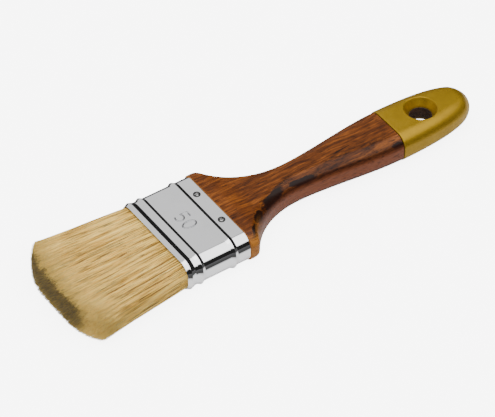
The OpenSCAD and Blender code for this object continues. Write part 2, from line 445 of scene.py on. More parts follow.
def varnishedWood(name, look):
    material, tree, shader, coords = newMaterial(
        name, **{"Specular IOR Level": 0.1, "Coat Weight": look["varnish"], "Coat Roughness": 0.06})
    # pores and growth lines run along the handle, bending a little with the broad figure
    grain = placeGroup(tree, longStreaks, {"Vector": coords, "Along": 75.0, "Across": 820.0, "Wander": 0.006})
    cloud = noise(tree, mapped(tree, coords, (28, 150, 110)), 1.0, 4.0, 0.6, 0.8)
    tone = plus(tree, times(tree, grain["Streaks"], 0.62), times(tree, cloud, 0.38))
    colour = ramp(tree, tone, [(0.36, look["dark"]), (0.50, look["mid"]), (0.64, look["light"])])
    pores = ramp(tree, grain["Fine"], [(0.32, 0.12), (0.50, 1.0)])
    colour = mixColour(tree, 0.9, colour, pores, "MULTIPLY")
    # dark spotted clouds, then near-black patches with a pale ring around them
    ragged = noise(tree, mapped(tree, coords, (150, 420, 260)), 1.0, 4.0, 0.65)
    shade = ramp(tree, nearestPatch(tree, coords, look["clouds"], ragged), [(0.2, 0.8), (1.15, 0.0)])
    spots = noise(tree, mapped(tree, coords, (420, 1000, 500)), 1.0, 3.0, 0.6)
    spots = ramp(tree, spots, [(0.40, 1.0), (0.56, 0.25)])
    colour = mixColour(tree, times(tree, shade, spots), colour, look["figure"])
    patch = nearestPatch(tree, coords, look["knots"], ragged)
    ring = ramp(tree, patch, [(0.98, 0.0), (1.06, 0.7), (1.12, 0.5), (1.3, 0.0)])
    colour = mixColour(tree, ring, colour, look["ring"])
    colour = mixColour(tree, ramp(tree, patch, [(0.74, 0.97), (1.02, 0.0)]), colour, look["figure"])
    # behind the shoulder the steep faces are painted darker and redder than the flats, near-black at the
    # rounded top edge: painted shade
    normal = addNode(tree, "ShaderNodeNewGeometry").outputs["Normal"]
    upward = maths(tree, "ABSOLUTE", part(tree, normal, 2))
    sideShadeFrom, sideShadeFull = (mouthX + look[key] * mm for key in ("sideShadeFrom", "sideShadeFull"))
    behind = between(tree, part(tree, coords, 0), sideShadeFrom, sideShadeFull)
    # in front of the side shade, steep faces take the paler shoulder colour: end grain, and painted light
    shoulderGrainAndLight = ramp(tree, upward, [(0.5, 0.75), (0.9, 0.0)])
    shoulderGrainAndLight = times(tree, shoulderGrainAndLight, minus(tree, 1.0, behind))
    colour = mixColour(tree, shoulderGrainAndLight, colour, mixColour(tree, 0.8, look["shoulder"], pores, "MULTIPLY"))
    paintedSideShade = ramp(tree, upward, [(0.50, 0.85), (0.88, 0.0)])
    steep = ramp(tree, upward, [(0.1, 1.0), (0.55, 0.0)])
    sideShadeColour = mixColour(tree, steep, look["sideShadeTop"], look["sideShadeLow"])
    sideShadeColour = mixColour(tree, 0.7, sideShadeColour, pores, "MULTIPLY")
    colour = mixColour(tree, times(tree, paintedSideShade, behind), colour, sideShadeColour)
    marks = placeGroup(tree, handlingMarks, {"Vector": coords, "Amount": 0.5})
    rough = plus(tree, times(tree, marks["Smudge"], 0.08), 0.4)
    drive(tree, shader, Base_Color=colour, Roughness=rough)
    bumpTo(tree, shader, grain["Fine"], 0.10, 0.0002)
    return material


goldLook = {"colour": (0.28, 0.165, 0.006), "pale": (0.33, 0.200, 0.009), "metallic": 0.65, "roughness": 0.36}


def goldLacquer(name, look):
    material, tree, shader, coords = newMaterial(
        name, **{"Metallic": look["metallic"], "Specular IOR Level": 0.25})
    flake = addNode(tree, "ShaderNodeTexVoronoi", {"Vector": coords, "Scale": 5200.0}).outputs["Distance"]
    cloud = noise(tree, coords, 160.0, 4.0, 0.6)
    colour = mixColour(tree, ramp(tree, cloud, [(0.3, 0.0), (0.7, 1.0)]), look["colour"], look["pale"])
    marks = placeGroup(tree, handlingMarks, {"Vector": coords, "Amount": 1.0})
    rough = plus(tree, times(tree, marks["Smudge"], 0.06), look["roughness"])
    rough = plus(tree, rough, times(tree, marks["Scratch"], 0.1))
    drive(tree, shader, Base_Color=colour, Roughness=rough)
    height = plus(tree, times(tree, flake, 0.5), noise(tree, coords, 900.0, 2.0))
    bumpTo(tree, shader, height, 0.06, 0.0002)
    return material


plateLook = {"colour": (0.86, 0.86, 0.87), "roughness": 0.045, "scratched": 0.10}
stampLook = {"colour": (0.32, 0.32, 0.33), "roughness": 0.15, "scratched": 0.05}


def brightPlate(name, look):
    material, tree, shader, coords = newMaterial(name, Metallic=1.0)
    marks = placeGroup(tree, handlingMarks, {"Vector": coords, "Amount": 1.0})
    dull = mixColour(tree, marks["Smudge"], look["colour"], tuple(c * 0.94 for c in look["colour"]))
    rough = plus(tree, times(tree, marks["Smudge"], 0.05), look["roughness"])
    rough = plus(tree, rough, times(tree, marks["Scratch"], look["scratched"]))
    drive(tree, shader, Base_Color=dull, Roughness=rough)
    bumpTo(tree, shader, noise(tree, coords, 260.0, 2.0), 0.03, 0.0004)
    return material


bristleLook = {
    "dark": (0.20, 0.105, 0.020),
    "straw": (0.77, 0.455, 0.072),
    "pale": (0.97, 0.72, 0.21),
    # the end tone is painted shade for the cut ends and the depth under the outer hairs; it also colours
    # short dark dashes along the hairs
    "end": (0.125, 0.090, 0.038),
}


def bristleHair(name, look, endShadeAmount):
    # colour comes from each hair's own tone, and from streaks that run along groups of hairs
    material, tree, shader, _ = newMaterial(name, **{"Specular IOR Level": 0.3})
    tone = addNode(tree, "ShaderNodeAttribute", attribute_name="tone").outputs["Fac"]
    along = addNode(tree, "ShaderNodeAttribute", attribute_name="along").outputs["Fac"]
    root = addNode(tree, "ShaderNodeAttribute", attribute_name="root").outputs["Vector"]
    across = vectorMaths(tree, "MULTIPLY", root, (0, 1, 1))
    length = combined(tree, along)
    fine = vectorMaths(tree, "ADD", scaled(tree, across, 2400.0), scaled(tree, length, 2.4))
    broad = vectorMaths(tree, "ADD", scaled(tree, across, 380.0), scaled(tree, length, 1.6))
    dash = vectorMaths(tree, "ADD", scaled(tree, across, 2900.0), scaled(tree, length, 4.5))
    fine, broad, dash = (noise(tree, place, 1.0, 2.0) for place in (fine, broad, dash))
    streak = plus(tree, times(tree, fine, 4.2), times(tree, broad, 0.5))
    mixed = maths(tree, "ADD", times(tree, tone, 0.5), minus(tree, streak, 2.10), clamp=True)
    colour = ramp(tree, mixed, [(0.0, look["dark"]), (0.30, look["straw"]), (0.95, look["pale"])])
    colour = mixColour(tree, ramp(tree, dash, [(0.63, 0.0), (0.71, 0.9)]), colour, look["end"])
    tipPale = ramp(tree, along, [(0.74, 0.0), (0.96, 1.0)])
    colour = mixColour(tree, times(tree, tipPale, 0.5), colour, look["pale"])
    if endShadeAmount:
        # painted shade: end hairs darken towards their tips, standing for the shade among the cut ends; paler
        # hairs take less of it
        paintedEndShade = ramp(tree, along, [(0.80, 0.0), (0.95, 1.0)])
        share = minus(tree, endShadeAmount, times(tree, tone, 1.25), clamp=True)
        colour = mixColour(tree, times(tree, paintedEndShade, share), colour, look["end"])
    rough = plus(tree, times(tree, fine, 0.2), 0.4)
    drive(tree, shader, Base_Color=colour, Roughness=rough)
    return material


def bristleMass(name, look):
    # the packed bristles under the outer hairs, seen only through gaps
    material, tree, shader, coords = newMaterial(name, Roughness=0.7)
    streaks = placeGroup(tree, longStreaks, {"Vector": coords, "Along": 30.0, "Across": 1800.0})
    # its colour runs from the straw tone down to the dark end tone: bristle colour with painted shade for the
    # depth between hairs
    colour = ramp(tree, streaks["Streaks"], [(0.3, look["end"]), (0.7, look["straw"])])
    drive(tree, shader, Base_Color=colour)
    bumpTo(tree, shader, streaks["Fine"], 0.6, 0.0003)
    return material


def plainWood(name, dark, light):
    material, tree, shader, coords = newMaterial(name, Roughness=0.6)
    grain = placeGroup(tree, longStreaks, {"Vector": coords, "Along": 60.0, "Across": 900.0, "Wander": 0.002})
    colour = ramp(tree, grain["Streaks"], [(0.3, dark), (0.7, light)])
    drive(tree, shader, Base_Color=colour)
    bumpTo(tree, shader, grain["Fine"], 0.3, 0.0002)
    return material


def nailSteel(name, dark, light):
    material, tree, shader, coords = newMaterial(name, Metallic=0.9)
    spots = noise(tree, coords, 1900.0, 3.0, 0.6)
    colour = ramp(tree, spots, [(0.47, dark), (0.60, light)])
    drive(tree, shader, Base_Color=colour, Roughness=plus(tree, times(tree, spots, 0.3), 0.2))
    return material


def castResin(name):
    material, tree, shader, coords = newMaterial(name, Roughness=0.25)
    cloud = noise(tree, coords, 240.0, 4.0)
    colour = ramp(tree, cloud, [(0.3, (0.34, 0.2, 0.06)), (0.7, (0.55, 0.36, 0.13))])
    drive(tree, shader, Base_Color=colour)
    bumpTo(tree, shader, cloud, 0.2, 0.0003)
    return material


woodFinish = varnishedWood("varnishedWood", woodLook)
goldFinish = goldLacquer("goldLacquer", goldLook)
plateFinish = brightPlate("brightPlate", plateLook)
stampFinish = brightPlate("stampedPlate", stampLook)
nailFinish = nailSteel("nailSteel", (0.05, 0.05, 0.05), (0.62, 0.62, 0.61))
# painted shade: the near-black ring around each nail head stands for the shade in its dent
nailRimShadeFinish = nailSteel("nailRimShade", (0.02, 0.02, 0.02), (0.07, 0.07, 0.07))
hairFinish = bristleHair("bristleHair", bristleLook, 0.0)
# the end hairs carry painted shade towards their tips
shadedEndHairFinish = bristleHair("bristleEndShaded", bristleLook, 1.15)
massFinish = bristleMass("bristleMass", bristleLook)
# painted shade: the wall of the hole is near-black for the shade inside it
boreShadeFinish = plainWood("boreWoodShaded", (0.020, 0.008, 0.003), (0.050, 0.020, 0.008))
plugFinish = plainWood("plugWood", (0.36, 0.22, 0.11), (0.62, 0.44, 0.25))
resinFinish = castResin("castResin")
print("materials ready")


# ---- ferrule: a sheet-metal band with pressed beads

ferruleSizes = {
    "width": (ferruleHigh.y - ferruleLow.y) / mm - 1.6,
    "thickness": (ferruleHigh.z - ferruleLow.z) / mm - 1.6,
    "length": (ferruleHigh.x - ferruleLow.x) / mm,
    "corner": 6.1,
    "sheet": 0.4,
    "beadHeight": 0.8,
    "beadBend": 0.15,          # how far the crest and the feet are rounded
    # crest from the mouth, foot towards the mouth, foot towards the handle
    "beads": ((1.95, 1.65, 2.4), (7.4, 1.65, 1.65), (24.3, 1.65, 1.75)),
    "cornerSteps": 48,
}


def ferruleProfile(s):
    # closed outline of the sheet: (distance from the mouth, height above the outside face)
    bend, sheet = s["beadBend"], s["sheet"]
    outer, inner = [], []
    for middle, before, after in s["beads"]:
        outer.append((middle - before - 0.08, 0.0))
        places = [-before + bend * i / 4 for i in range(5)] + [bend * (i / 4 - 1) for i in range(4)]
        places += [bend * i / 4 for i in range(5)] + [after - bend + bend * i / 4 for i in range(5)]
        for u in places:
            side, half = abs(u), before if u < 0 else after
            steep = s["beadHeight"] / (half - bend)
            slope = -math.copysign(steep * min(1.0, side / bend, (half - side) / bend), u)
            height = steep * (half - side) ** 2 / (2 * bend)
            if side < bend:
                height = s["beadHeight"] - steep * side ** 2 / (2 * bend)
            elif side < half - bend + 0.001:
                height = steep * (half - side - bend / 2)
            outer.append((middle + u, height))
            if side == 0 or side > half - bend - 0.001:
                lean = math.sqrt(1 + slope ** 2)
                inner.append((middle + u + sheet * slope / lean, height - sheet / lean))
        outer.append((middle + after + 0.08, 0.0))
    lip = sheet / 2
    arc = [math.radians(a) for a in (-60, -30, 0, 30, 60, 90)]
    mouth = [(lip * (1 - math.cos(a)), -lip + lip * math.sin(a)) for a in arc]
    end = [(s["length"] - x, h) for x, h in reversed(mouth + [(lip + 0.05, 0.0), (lip + 0.2, 0.0)])]
    return mouth + outer + end + [(s["length"] - lip, -sheet)] + list(reversed(inner)) + [(lip, -sheet)]


def closedCurve(name, points):
    # a flat poly curve whose X is the height and whose Y is the place along the brush
    data = bpy.data.curves.new(name, "CURVE")
    data.dimensions = "3D"
    spline = data.splines.new("POLY")
    spline.points.add(len(points) - 1)
    for point, (u, v, w) in zip(spline.points, points):
        point.co = (u, v, w, 1)
    spline.use_cyclic_u = True
    obj = bpy.data.objects.new(name, data)
    scene.collection.objects.link(obj)
    return obj


def buildFerruleTree():
    # a rounded rectangle, swept by the sheet's outline
    tree, given, out = groupTree(
        "ferruleBand", "GeometryNodeTree",
        [("Geometry", "Geometry", None), ("Width", "Float", 0.05),
         ("Thickness", "Float", 0.015), ("Corner", "Float", 0.006),
         ("Corner Steps", "Int", 48), ("Outline", "Object", None),
         ("Place", "Vector", None), ("Material", "Material", None)],
        [("Geometry", "Geometry")])
    loop = addNode(tree, "GeometryNodeCurvePrimitiveQuadrilateral", {
        "Width": given["Width"], "Height": given["Thickness"],
    })
    rounded = addNode(tree, "GeometryNodeFilletCurve", {
        "Curve": loop.outputs[0], "Count": given["Corner Steps"], "Radius": given["Corner"],
    }, mode="POLY")
    outline = addNode(tree, "GeometryNodeObjectInfo", {"Object": given["Outline"]})
    band = addNode(tree, "GeometryNodeCurveToMesh", {
        "Curve": rounded.outputs[0], "Profile Curve": outline.outputs["Geometry"],
    })
    turned = addNode(tree, "GeometryNodeTransform", {
        "Geometry": band.outputs[0], "Translation": given["Place"],
        "Rotation": Euler((math.radians(90), 0, math.radians(90))),
    })
    plain = realized(tree, smoothed(tree, turned.outputs[0]))
    tree.links.new(paint(tree, plain, given["Material"]), out["Geometry"])
    return tree


def outwardNormals(obj):
    mesh = bmesh.new()
    mesh.from_mesh(obj.data)
    bmesh.ops.remove_doubles(mesh, verts=mesh.verts, dist=1e-7)
    bmesh.ops.recalc_face_normals(mesh, faces=mesh.faces)
    mesh.to_mesh(obj.data)
    mesh.free()


def buildFerrule(s):
    outline = closedCurve("sheetOutline", [(h * mm, -x * mm, 0) for x, h in ferruleProfile(s)])
    band = bakeNodes("ferruleBand", bpy.data.meshes.new("ferruleBand"), buildFerruleTree(), {
        "Width": s["width"] * mm, "Thickness": s["thickness"] * mm, "Corner": s["corner"] * mm,
        "Corner Steps": s["cornerSteps"], "Outline": outline, "Place": Vector((mouthX, 0, midZ)),
        "Material": plateFinish,
    })
    bpy.data.objects.remove(outline)
    outwardNormals(band)
    smoothShade(band.data, 30)
    finishPiece(band, "brush", "plated_sheet", "ferrule")


buildFerrule(ferruleSizes)


# ---- handle: turned wood and its lacquered end

handleSizes = {
    "shoulder": 32.6,
    "end": (handleHigh.x - mouthX) / mm,
    "dip": (dipLow.x - mouthX) / mm,
    "halfShoulder": handleHigh.y / mm,
    "halfNeck": 8.5,
    "halfGrip": 13.0,
    "halfThickness": 7.5,
    "lip": 0.4,
    "shoulderRise": 0.4,
    "tipTaper": 1.25,
    "edgeY": 6.4,
    "edgeZ": 5.6,
    # from the shoulder to the foot, the narrowest neck and the widest grip
    "footAt": 5.4,
    "footIn": 1.5,
    "neckAt": 38.4,
    "gripAt": 90.9,
    "tongueStart": 19.9,
    "tongueGap": 0.5,
    "tongueCorner": 5.6,
    "coat": 0.2,
    "cornerSteps": 22,
}


def handleOutline(s):
    # (distance from the mouth, half width) from the shoulder to the end
    start, half, end = s["shoulder"], s["halfShoulder"], s["end"]
    foot = (start + s["footAt"], half - s["footIn"])
    neck = (start + s["neckAt"], s["halfNeck"])
    grip = (start + s["gripAt"], s["halfGrip"])
    lip = s["lip"]
    arc = [math.radians(a) for a in range(0, 91, 15)]
    edge = [(start + lip * (1 - math.cos(a)), half - lip + lip * math.sin(a)) for a in arc]
    straight = [(start + lip + 0.4 * i, half) for i in range(1, 5)]
    return (
        edge + straight
        + bezierRun([straight[-1], (start + 4, half), (start + 4.6, half - 0.5), foot], 10)
        + bezierRun([foot, (start + 9.9, half - 8), (start + 19.9, neck[1]), neck], 48)
        + bezierRun([neck, (start + 54.4, neck[1]), (start + 74.4, grip[1]), grip], 48)
        + bezierRun([grip, (end - 13, grip[1]), (end, grip[1] * 0.8), (end, 0.15)], 72)
    )


def handleHalf(s, x):
    rise = s["shoulderRise"] * (1 - smoothStep((x - s["shoulder"] - 3) / 12))
    taper = s["tipTaper"] * max(0.0, (x - s["dip"]) / (s["end"] - s["dip"])) ** 2
    return s["halfThickness"] + rise - taper - edgeDrop(s["end"] - x, s["edgeY"], s["edgeZ"])


def handleRing(s, x, halfWidth, grow):
    halfWidth = halfWidth + grow
    halfThickness = handleHalf(s, x) + grow
    edgeY = min(s["edgeY"], halfWidth * 0.98)
    edgeZ = min(s["edgeZ"] + 0.3, halfThickness * 0.95)
    forward = grow if x >= s["end"] - 0.001 else 0
    return roundedRing(x + forward, halfWidth, halfThickness, edgeY, edgeZ, s["cornerSteps"])


def buildHandle(s):
    inside = [ferruleSizes[key] / 2 - s["tongueGap"] for key in ("width", "thickness")]
    rings = [
        roundedRing(x, *inside, s["tongueCorner"], s["tongueCorner"], s["cornerSteps"])
        for x in (s["tongueStart"], s["shoulder"])
    ]
    for x, halfWidth in handleOutline(s):
        if x <= s["dip"] + 0.6:
            rings.append(handleRing(s, x, halfWidth, 0))
    mesh = loftMesh("handleWood", rings)
    smoothShade(mesh, 40)
    wood = newObject("handleWood", mesh, woodFinish)
    finishPiece(wood, "brush", "varnished_wood", "handle")


holeSizes = {
    "bore": holeMount["dims"]["r_mm"],
    "straight": holeMount["dims"]["length_mm"],
    "mouth": 7.5,
    "mouthUnder": 8.8,
    "lining": 0.12,
    "sides": 96,
}


def holeProfile(s, radius, reach, mouth):
    # half of the cutter's outline, from its middle height up past the face
    straight, face = s["straight"] / 2, handleSizes["halfThickness"] - 0.2
    slope = (mouth - s["bore"]) / (face - straight)
    points = [(radius, 0.0), (radius, straight - 0.25), (radius + 0.06, straight + 0.1)]
    for i in range(1, 9):
        z = straight + (face - 0.35 - straight) * i / 8
        points.append((s["bore"] + slope * (z - straight), z))
    for turn in (0.25, 0.5, 0.75, 1.0):
        points.append((mouth - 0.19 + 0.62 * turn ** 1.6, face - 0.35 + 0.55 * turn))
    points.append((points[-1][0] + 0.5, reach))
    return points


def applyBoolean(obj, cutter):
    modifier = obj.modifiers.new("cut", "BOOLEAN")
    modifier.operation = "DIFFERENCE"
    modifier.solver = "EXACT"
    modifier.object = cutter
    graph = bpy.context.evaluated_depsgraph_get()
    result = bpy.data.meshes.new_from_object(obj.evaluated_get(graph), depsgraph=graph)
    obj.modifiers.clear()
    obj.data = result
    bpy.data.objects.remove(cutter)


def buildDippedEnd(s, hole):
    holeX = holeMount["pos_m"][0]
    edge = [
        (s["dip"] + ahead, grow)
        for ahead, grow in ((0, -0.9), (0, -0.02), (0.01, 0.09), (0.08, 0.17), (0.22, s["coat"]))
    ]
    outline = handleOutline(s)
    halfAtDip = next(h for x, h in outline if x >= s["dip"])
    rings = [handleRing(s, x, halfAtDip, grow) for x, grow in edge]
    for x, halfWidth in outline:
        if x > s["dip"] + 0.5:
            rings.append(handleRing(s, x, halfWidth, s["coat"]))
    gold = newObject("dippedEnd", loftMesh("dippedEnd", rings), goldFinish)
    upper, under = (
        holeProfile(hole, hole["bore"] + hole["lining"], s["halfThickness"] + 2, hole[mouth])
        for mouth in ("mouth", "mouthUnder")
    )
    profile = [(r, -z) for r, z in reversed(under[1:])] + upper
    cutterMesh = latheMesh("holeCutter", [(r * mm, z * mm) for r, z in profile], hole["sides"])
    for vertex in cutterMesh.vertices:
        vertex.co += Vector((holeX, 0, midZ))
    cutter = newObject("holeCutter", cutterMesh)
    applyBoolean(gold, cutter)
    smoothShade(gold.data, 32)
    finishPiece(gold, "brush", "gold_lacquer", "dipped_end")


def buildHoleWall(hole):
    # bare wood shows on the wall of the hole, coloured near-black as painted shade: a thin ring, closed all
    # the way round
    holeX = holeMount["pos_m"][0]
    half = hole["straight"] / 2 - 0.1
    bore, edge, back = hole["bore"], hole["bore"] + hole["lining"], hole["bore"] + 0.6
    wall = [
        (edge, -half), (bore, -half + 0.1), (bore, half - 0.1),
        (edge, half), (back, half - 0.05), (back, -half + 0.05),
    ]
    sides, count = hole["sides"], len(wall)
    points, faces = [], []
    for k, (r, z) in enumerate(wall):
        for i in range(sides):
            a = 2 * math.pi * i / sides
            points.append((holeX + r * mm * math.cos(a), r * mm * math.sin(a), midZ + z * mm))
            j, up = (i + 1) % sides, (k + 1) % count
            faces.append((k * sides + i, k * sides + j, up * sides + j, up * sides + i))
    lining = newObject("holeWall", meshFrom("holeWall", points, faces), boreShadeFinish)
    outwardNormals(lining)
    smoothShade(lining.data, 40)
    finishPiece(lining, "brush", "varnished_wood")


buildHandle(handleSizes)
buildDippedEnd(handleSizes, holeSizes)
buildHoleWall(holeSizes)


# ---- nails through the ferrule

nailSizes = {
    "head": 1.7,
    "rimWidth": 0.62,
    "dome": 0.4,
    "rim": 0.18,
    "shank": 0.7,
    "length": 6.0,
    "sides": 32,
}


def nailMesh(s):
    # domed head with a sunken rim whose faces are marked for a near-black painted shade, seen from the side
    # as (radius, height)
    edge, sunk = s["head"] - s["rimWidth"], s["rim"] * 0.45
    profile = [(0.0001, -s["length"]), (s["shank"], -s["length"] + 1.4), (s["shank"], 0.0)]
    profile += [(s["head"], 0.0), (s["head"], s["rim"] * 0.6), (s["head"] - 0.12, s["rim"]), (edge, sunk)]
    for i in range(1, 7):
        a = math.radians(15 * i)
        profile.append((edge * math.cos(a) + 0.0001, sunk + (s["dome"] - sunk) * math.sin(a)))
    mesh = latheMesh("nailHead", [(r * mm, z * mm) for r, z in profile], s["sides"])
    rim = [f.center.xy.length > (edge - 0.02) * mm and f.center.z > 0 for f in mesh.polygons]
    mesh.attributes.new("rim", "BOOLEAN", "FACE").data.foreach_set("value", rim)
    return mesh


def buildNailTree():
    # one nail on each point, turned by the point's own up direction
    tree, given, out = groupTree(
        "ferruleNails", "GeometryNodeTree",
        [("Geometry", "Geometry", None), ("Nail", "Object", None),
         ("Material", "Material", None), ("Rim Shade Material", "Material", None)],
        [("Geometry", "Geometry")])
    up = namedAttribute(tree, "up", "FLOAT_VECTOR")
    turn = addNode(tree, "FunctionNodeAlignRotationToVector", {"Vector": up}, axis="Z").outputs[0]
    nail = addNode(tree, "GeometryNodeObjectInfo", {"Object": given["Nail"]})
    nails = addNode(tree, "GeometryNodeInstanceOnPoints", {
        "Points": given["Geometry"], "Instance": nail.outputs["Geometry"], "Rotation": turn,
    })
    painted = paint(tree, realized(tree, nails.outputs[0]), given["Material"])
    # the rim faces get the near-black material: painted shade in the dent around the head
    rim = namedAttribute(tree, "rim", "BOOLEAN")
    painted = paint(tree, painted, given["Rim Shade Material"], Selection=rim)
    tree.links.new(painted, out["Geometry"])
    return tree


def buildNails(s):
    names = ["nail_top_left", "nail_top_right", "nail_under_left", "nail_under_right"]
    face = ferruleSizes["thickness"] / 2 * mm
    places, ups = [], []
    for name in names:
        low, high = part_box(name)
        up = 1 if (low.z + high.z) / 2 > midZ else -1
        places.append(((low.x + high.x) / 2, (low.y + high.y) / 2, midZ + up * face))
        ups += (0, 0, up)
    base = meshFrom("ferruleNails", places, [])
    base.attributes.new("up", "FLOAT_VECTOR", "POINT").data.foreach_set("vector", ups)
    nail = newObject("oneNail", nailMesh(s))
    nails = bakeNodes("ferruleNails", base, buildNailTree(), {
        "Nail": nail, "Material": nailFinish, "Rim Shade Material": nailRimShadeFinish,
    })
    bpy.data.objects.remove(nail)
    smoothShade(nails.data, 50)
    finishPiece(nails, "brush", "nail_metal", *names)


buildNails(nailSizes)


# ---- stamped size number on the flat of the ferrule

stampSizes = {"height": 6.6, "digitWidth": 4.2, "gap": 1.5, "stroke": 0.38, "middle": 16.0, "flatten": 0.7}


def digitStrokes():
    # strokes of a 5 and a 0 in a box one wide and one high
    def oval(width, height, angles):
        turns = [math.radians(a) for a in angles]
        return [(0.5 + width * math.cos(a), height + height * math.sin(a)) for a in turns]

    five = [(0.92, 1.0), (0.18, 1.0), (0.12, 0.52)] + oval(0.48, 0.3, range(130, -140, -15))
    return [(five, False), (oval(0.46, 0.5, range(0, 360, 15)), True)]


def buildStampTree():
    # round wire along the strokes, pressed flat against the sheet
    tree, given, out = groupTree(
        "stampedNumber", "GeometryNodeTree",
        [("Geometry", "Geometry", None), ("Stroke", "Float", 0.0002),
         ("Flatten", "Float", 0.5), ("Place", "Vector", None),
         ("Material", "Material", None)],
        [("Geometry", "Geometry")])
    path = addNode(tree, "GeometryNodeMeshToCurve", {"Mesh": given["Geometry"]})
    circle = addNode(tree, "GeometryNodeCurvePrimitiveCircle", {"Resolution": 10, "Radius": given["Stroke"]})
    wire = addNode(tree, "GeometryNodeCurveToMesh", {
        "Curve": path.outputs[0], "Profile Curve": circle.outputs["Curve"], "Fill Caps": True,
    })
    flat = addNode(tree, "GeometryNodeTransform", {
        "Geometry": wire.outputs[0], "Translation": given["Place"],
        "Scale": combined(tree, 1.0, 1.0, given["Flatten"]),
    })
    plain = realized(tree, smoothed(tree, flat.outputs[0]))
    tree.links.new(paint(tree, plain, given["Material"]), out["Geometry"])
    return tree


def buildStamp(s):
    # the number reads with its top towards the handle
    points, edges = [], []
    total = 2 * s["digitWidth"] + s["gap"]
    for index, (strokes, closed) in enumerate(digitStrokes()):
        first = len(points)
        for u, v in strokes:
            across = -total / 2 + index * (s["digitWidth"] + s["gap"]) + u * s["digitWidth"]
            points.append(((v - 0.5) * s["height"] * mm, -across * mm, 0))
        edges += [(i, i + 1) for i in range(first, len(points) - 1)]
        if closed:
            edges.append((len(points) - 1, first))
    base = bpy.data.meshes.new("stampedNumber")
    base.from_pydata(points, edges, [])
    face = midZ + ferruleSizes["thickness"] / 2 * mm
    stamp = bakeNodes("stampedNumber", base, buildStampTree(), {
        "Stroke": s["stroke"] * mm, "Flatten": s["flatten"],
        "Place": Vector((mouthX + s["middle"] * mm, 0, face)), "Material": stampFinish,
    })
    outwardNormals(stamp)
    finishPiece(stamp, "brush", "plated_sheet")


buildStamp(stampSizes)


# ---- bristles

bristleSizes = {
    "rootDepth": 3.0,          # how far inside the mouth the hairs start
    "tip": -(mouthX - tuftLow.x) / mm,
    "halfRoot": 24.9,
    "farTip": 28.9,
    "nearTip": 30.8,
    "halfThickness": 6.75,
    "swell": 0.95,
    "corner": 5.6,
    "trimCorner": 22.0,
    "farDrop": 14.0,
    "nearDrop": 12.0,
    "trimEdge": 3.4,
    "bendStart": 2,
    "bendStop": 4,
    "coreInset": 0.9,
    "coreShort": 13.0,         # how far the core stops before the trimmed end
    "outerCount": 10000,
    "outerDepth": 0.9,
    "endCount": 9000,
    "endDepth": 17.0,
    "seed": 7,
}


def bundleSides(s, x):
    # middle and half width of the bundle at a distance x from the mouth
    # it fans out a little more on its near side
    share = min(1.0, max(0.0, x / (s["tip"] * 0.75))) ** 1.15
    far = s["halfRoot"] + (s["farTip"] - s["halfRoot"]) * share
    near = s["halfRoot"] + (s["nearTip"] - s["halfRoot"]) * share
    return (far - near) / 2, (far + near) / 2


def bundleThick(s, x):
    return s["halfThickness"] + s["swell"] * smoothStep((-x - 4) / 22)


def outlinePoint(halfWidth, halfThickness, corner, share):
    # point at a share of the way round a rounded rectangle
    flatY, flatZ = 2 * (halfWidth - corner), 2 * (halfThickness - corner)
    bend = corner * math.pi / 2
    runs = [flatY, bend, flatZ, bend, flatY, bend, flatZ, bend]
    left = share % 1.0 * sum(runs)
    y, z, heading = -flatY / 2, halfThickness, 0.0
    for index, run in enumerate(runs):
        step = min(left, run)
        if index % 2 == 0:
            y, z = y + step * math.cos(heading), z + step * math.sin(heading)
        else:
            turn = step / corner
            centreY, centreZ = y + corner * math.sin(heading), z - corner * math.cos(heading)
            heading -= turn
            y, z = centreY - corner * math.sin(heading), centreZ + corner * math.cos(heading)
        left -= step
        if left <= 0:
            break
    return y, z


def trimmedEnd(s, y, z):
    # where a hair at y, z is cut: rounded at the corners and around the edge
    middle, half = bundleSides(s, s["tip"])
    side = edgeDrop(half - abs(y - middle), s["trimCorner"], s["farDrop"] if y > middle else s["nearDrop"])
    return s["tip"] + side + edgeDrop(bundleThick(s, s["tip"]) - abs(z), s["trimEdge"], s["trimEdge"])


def clumpTone(rng, count):
    # slowly changing tone across the bundle, so neighbouring hairs look alike
    knots = [rng.random() for _ in range(count + 2)]
    return lambda t: knots[int(t * count)] * (1 - t * count % 1) + knots[int(t * count) + 1] * (t * count % 1)


def outerHairs(s, rng, amount, deepest):
    # hairs that follow the skin of the bundle; many rise to the surface or sink below it
    broad, narrow, ragged = (clumpTone(rng, count) for count in (60, 320, 300))
    middle, half = bundleSides(s, s["tip"])
    thick = bundleThick(s, s["tip"])
    hairs = []
    for i in range(amount):
        share = (i + rng.random()) / amount
        low, high = (0.12 + rng.random() ** 1.3 * deepest for _ in range(2))
        drift = rng.gauss(0, 0.003)
        root = outlinePoint(s["halfRoot"] - low, s["halfThickness"] - low, s["corner"] - low, share)
        tip = outlinePoint(half - high, thick - high, s["corner"] - high, share + drift)
        tip = (tip[0] + middle, tip[1])
        end = trimmedEnd(s, *tip) + abs(rng.gauss(0, 0.9)) + 3.6 * ragged(share) ** 2
        reach = (end - s["rootDepth"]) / (s["tip"] - s["rootDepth"])
        tip = tuple(r + (t - r) * reach for r, t in zip(root, tip))
        tone = 0.60 * rng.random() + 0.25 * narrow(share) + 0.15 * broad(share)
        girth = rng.uniform(0.8, 1.15)
        if rng.random() < 0.05:
            tone, girth = -0.35, 1.3
        hairs.append((root, tip, s["rootDepth"], end, tone, girth))
    return hairs


